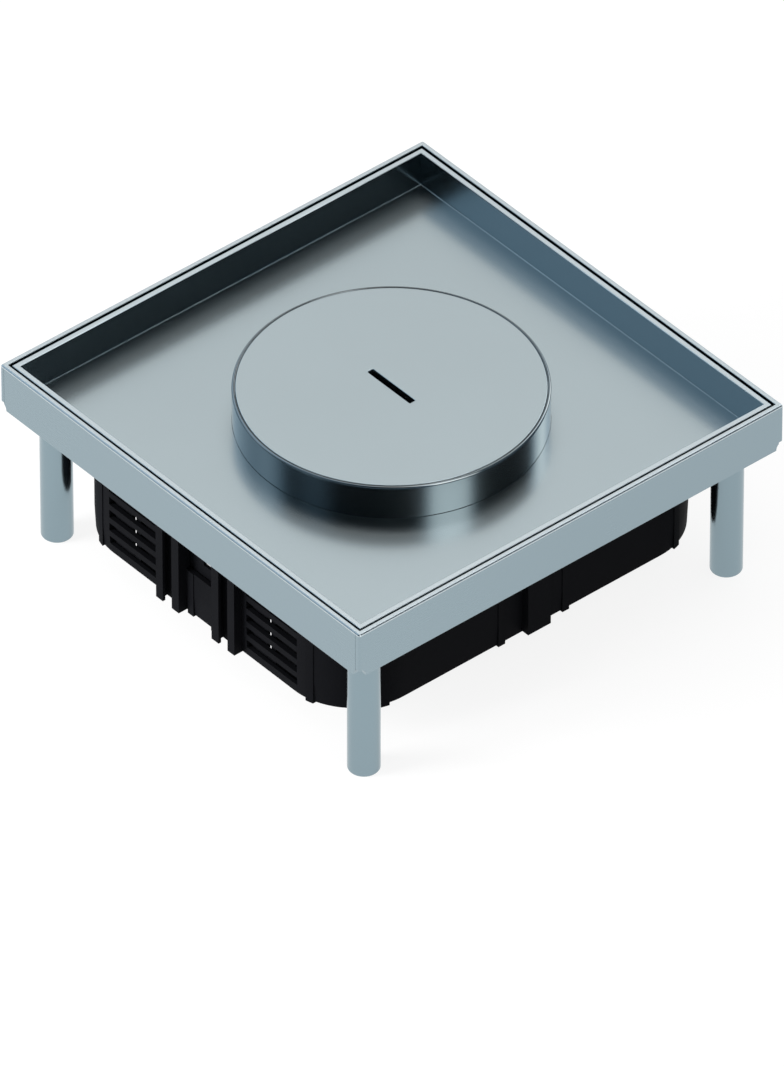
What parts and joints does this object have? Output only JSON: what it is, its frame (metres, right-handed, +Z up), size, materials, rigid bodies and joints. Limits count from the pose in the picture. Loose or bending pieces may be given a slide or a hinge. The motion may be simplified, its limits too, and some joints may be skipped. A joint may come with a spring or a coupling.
{
  "type": "floor box cover",
  "caption": "Square steel floor box cover with a recessed tray, a round collar with a turning slotted lid, a wiring housing underneath and round levelling legs.",
  "frame": {"origin": "on the slab, under the middle of the square cover, level with the feet of the legs", "axes": "+Z up out of the floor; +X and +Y along the square's sides; the slotted walls of the housing face -Y and +Y"},
  "size_m": [0.264, 0.264, 0.1024],
  "materials": {
    "brushed_stainless": "fine satin stainless steel",
    "polished_stainless": "turned and polished stainless steel",
    "leg_steel": "smooth turned steel",
    "black_plastic": "fine-textured moulded plastic",
    "rubber_seal": "matt foam rubber",
    "zinc_steel": "bright zinc plate"
  },
  "bodies": {
    "root": {"outer_frame": "brushed_stainless", "tray": "brushed_stainless", "tray_seal": "rubber_seal", "collar_ring": "polished_stainless", "collar_gasket": "rubber_seal", "collar_nuts": "zinc_steel", "lid_seal": "rubber_seal", "corner_block_front_left": "brushed_stainless", "corner_block_front_right": "brushed_stainless", "corner_block_back_left": "brushed_stainless", "corner_block_back_right": "brushed_stainless", "device_housing": "black_plastic", "housing_screws": "zinc_steel", "device_carrier_front": "black_plastic", "device_carrier_middle": "black_plastic", "device_carrier_back": "black_plastic"},
    "lid": {"lid_plate": "brushed_stainless", "lid_carrier": "black_plastic", "lid_screws": "zinc_steel"},
    "screw_front_left": {"levelling_screw_front_left": "zinc_steel", "screw_circlip_front_left": "zinc_steel"},
    "foot_front_left": {"leg_front_left": "leg_steel"},
    "screw_front_right": {"levelling_screw_front_right": "zinc_steel", "screw_circlip_front_right": "zinc_steel"},
    "foot_front_right": {"leg_front_right": "leg_steel"},
    "screw_back_left": {"levelling_screw_back_left": "zinc_steel", "screw_circlip_back_left": "zinc_steel"},
    "foot_back_left": {"leg_back_left": "leg_steel"},
    "screw_back_right": {"levelling_screw_back_right": "zinc_steel", "screw_circlip_back_right": "zinc_steel"},
    "foot_back_right": {"leg_back_right": "leg_steel"}
  },
  "joints": [
    {"name": "lid_turn", "type": "hinge", "parent": "root", "child": "lid", "pos_m": [0, 0, 0.0965], "axis": [0, 0, 1], "range_deg": [0, 40]},
    {"name": "screw_turn_front_left", "type": "hinge", "parent": "root", "child": "screw_front_left", "pos_m": [-0.1134, -0.1134, 0.074], "axis": [0, 0, 1], "range_deg": [0, 6010]},
    {"name": "leg_extend_front_left", "type": "slide", "parent": "root", "child": "foot_front_left", "axis": [0, 0, -1], "range_m": [0, 0.025]},
    {"name": "screw_turn_front_right", "type": "hinge", "parent": "root", "child": "screw_front_right", "pos_m": [0.1134, -0.1134, 0.074], "axis": [0, 0, 1], "range_deg": [0, 6010]},
    {"name": "leg_extend_front_right", "type": "slide", "parent": "root", "child": "foot_front_right", "axis": [0, 0, -1], "range_m": [0, 0.025]},
    {"name": "screw_turn_back_left", "type": "hinge", "parent": "root", "child": "screw_back_left", "pos_m": [-0.1134, 0.1134, 0.074], "axis": [0, 0, 1], "range_deg": [0, 6010]},
    {"name": "leg_extend_back_left", "type": "slide", "parent": "root", "child": "foot_back_left", "axis": [0, 0, -1], "range_m": [0, 0.025]},
    {"name": "screw_turn_back_right", "type": "hinge", "parent": "root", "child": "screw_back_right", "pos_m": [0.1134, 0.1134, 0.074], "axis": [0, 0, 1], "range_deg": [0, 6010]},
    {"name": "leg_extend_back_right", "type": "slide", "parent": "root", "child": "foot_back_right", "axis": [0, 0, -1], "range_m": [0, 0.025]}
  ],
  "couplings": [
    {"joint": "screw_turn_front_left", "follows": "leg_extend_front_left", "rad_per_m": 4188.8},
    {"joint": "screw_turn_front_right", "follows": "leg_extend_front_right", "rad_per_m": 4188.8},
    {"joint": "screw_turn_back_left", "follows": "leg_extend_back_left", "rad_per_m": 4188.8},
    {"joint": "screw_turn_back_right", "follows": "leg_extend_back_right", "rad_per_m": 4188.8}
  ]
}
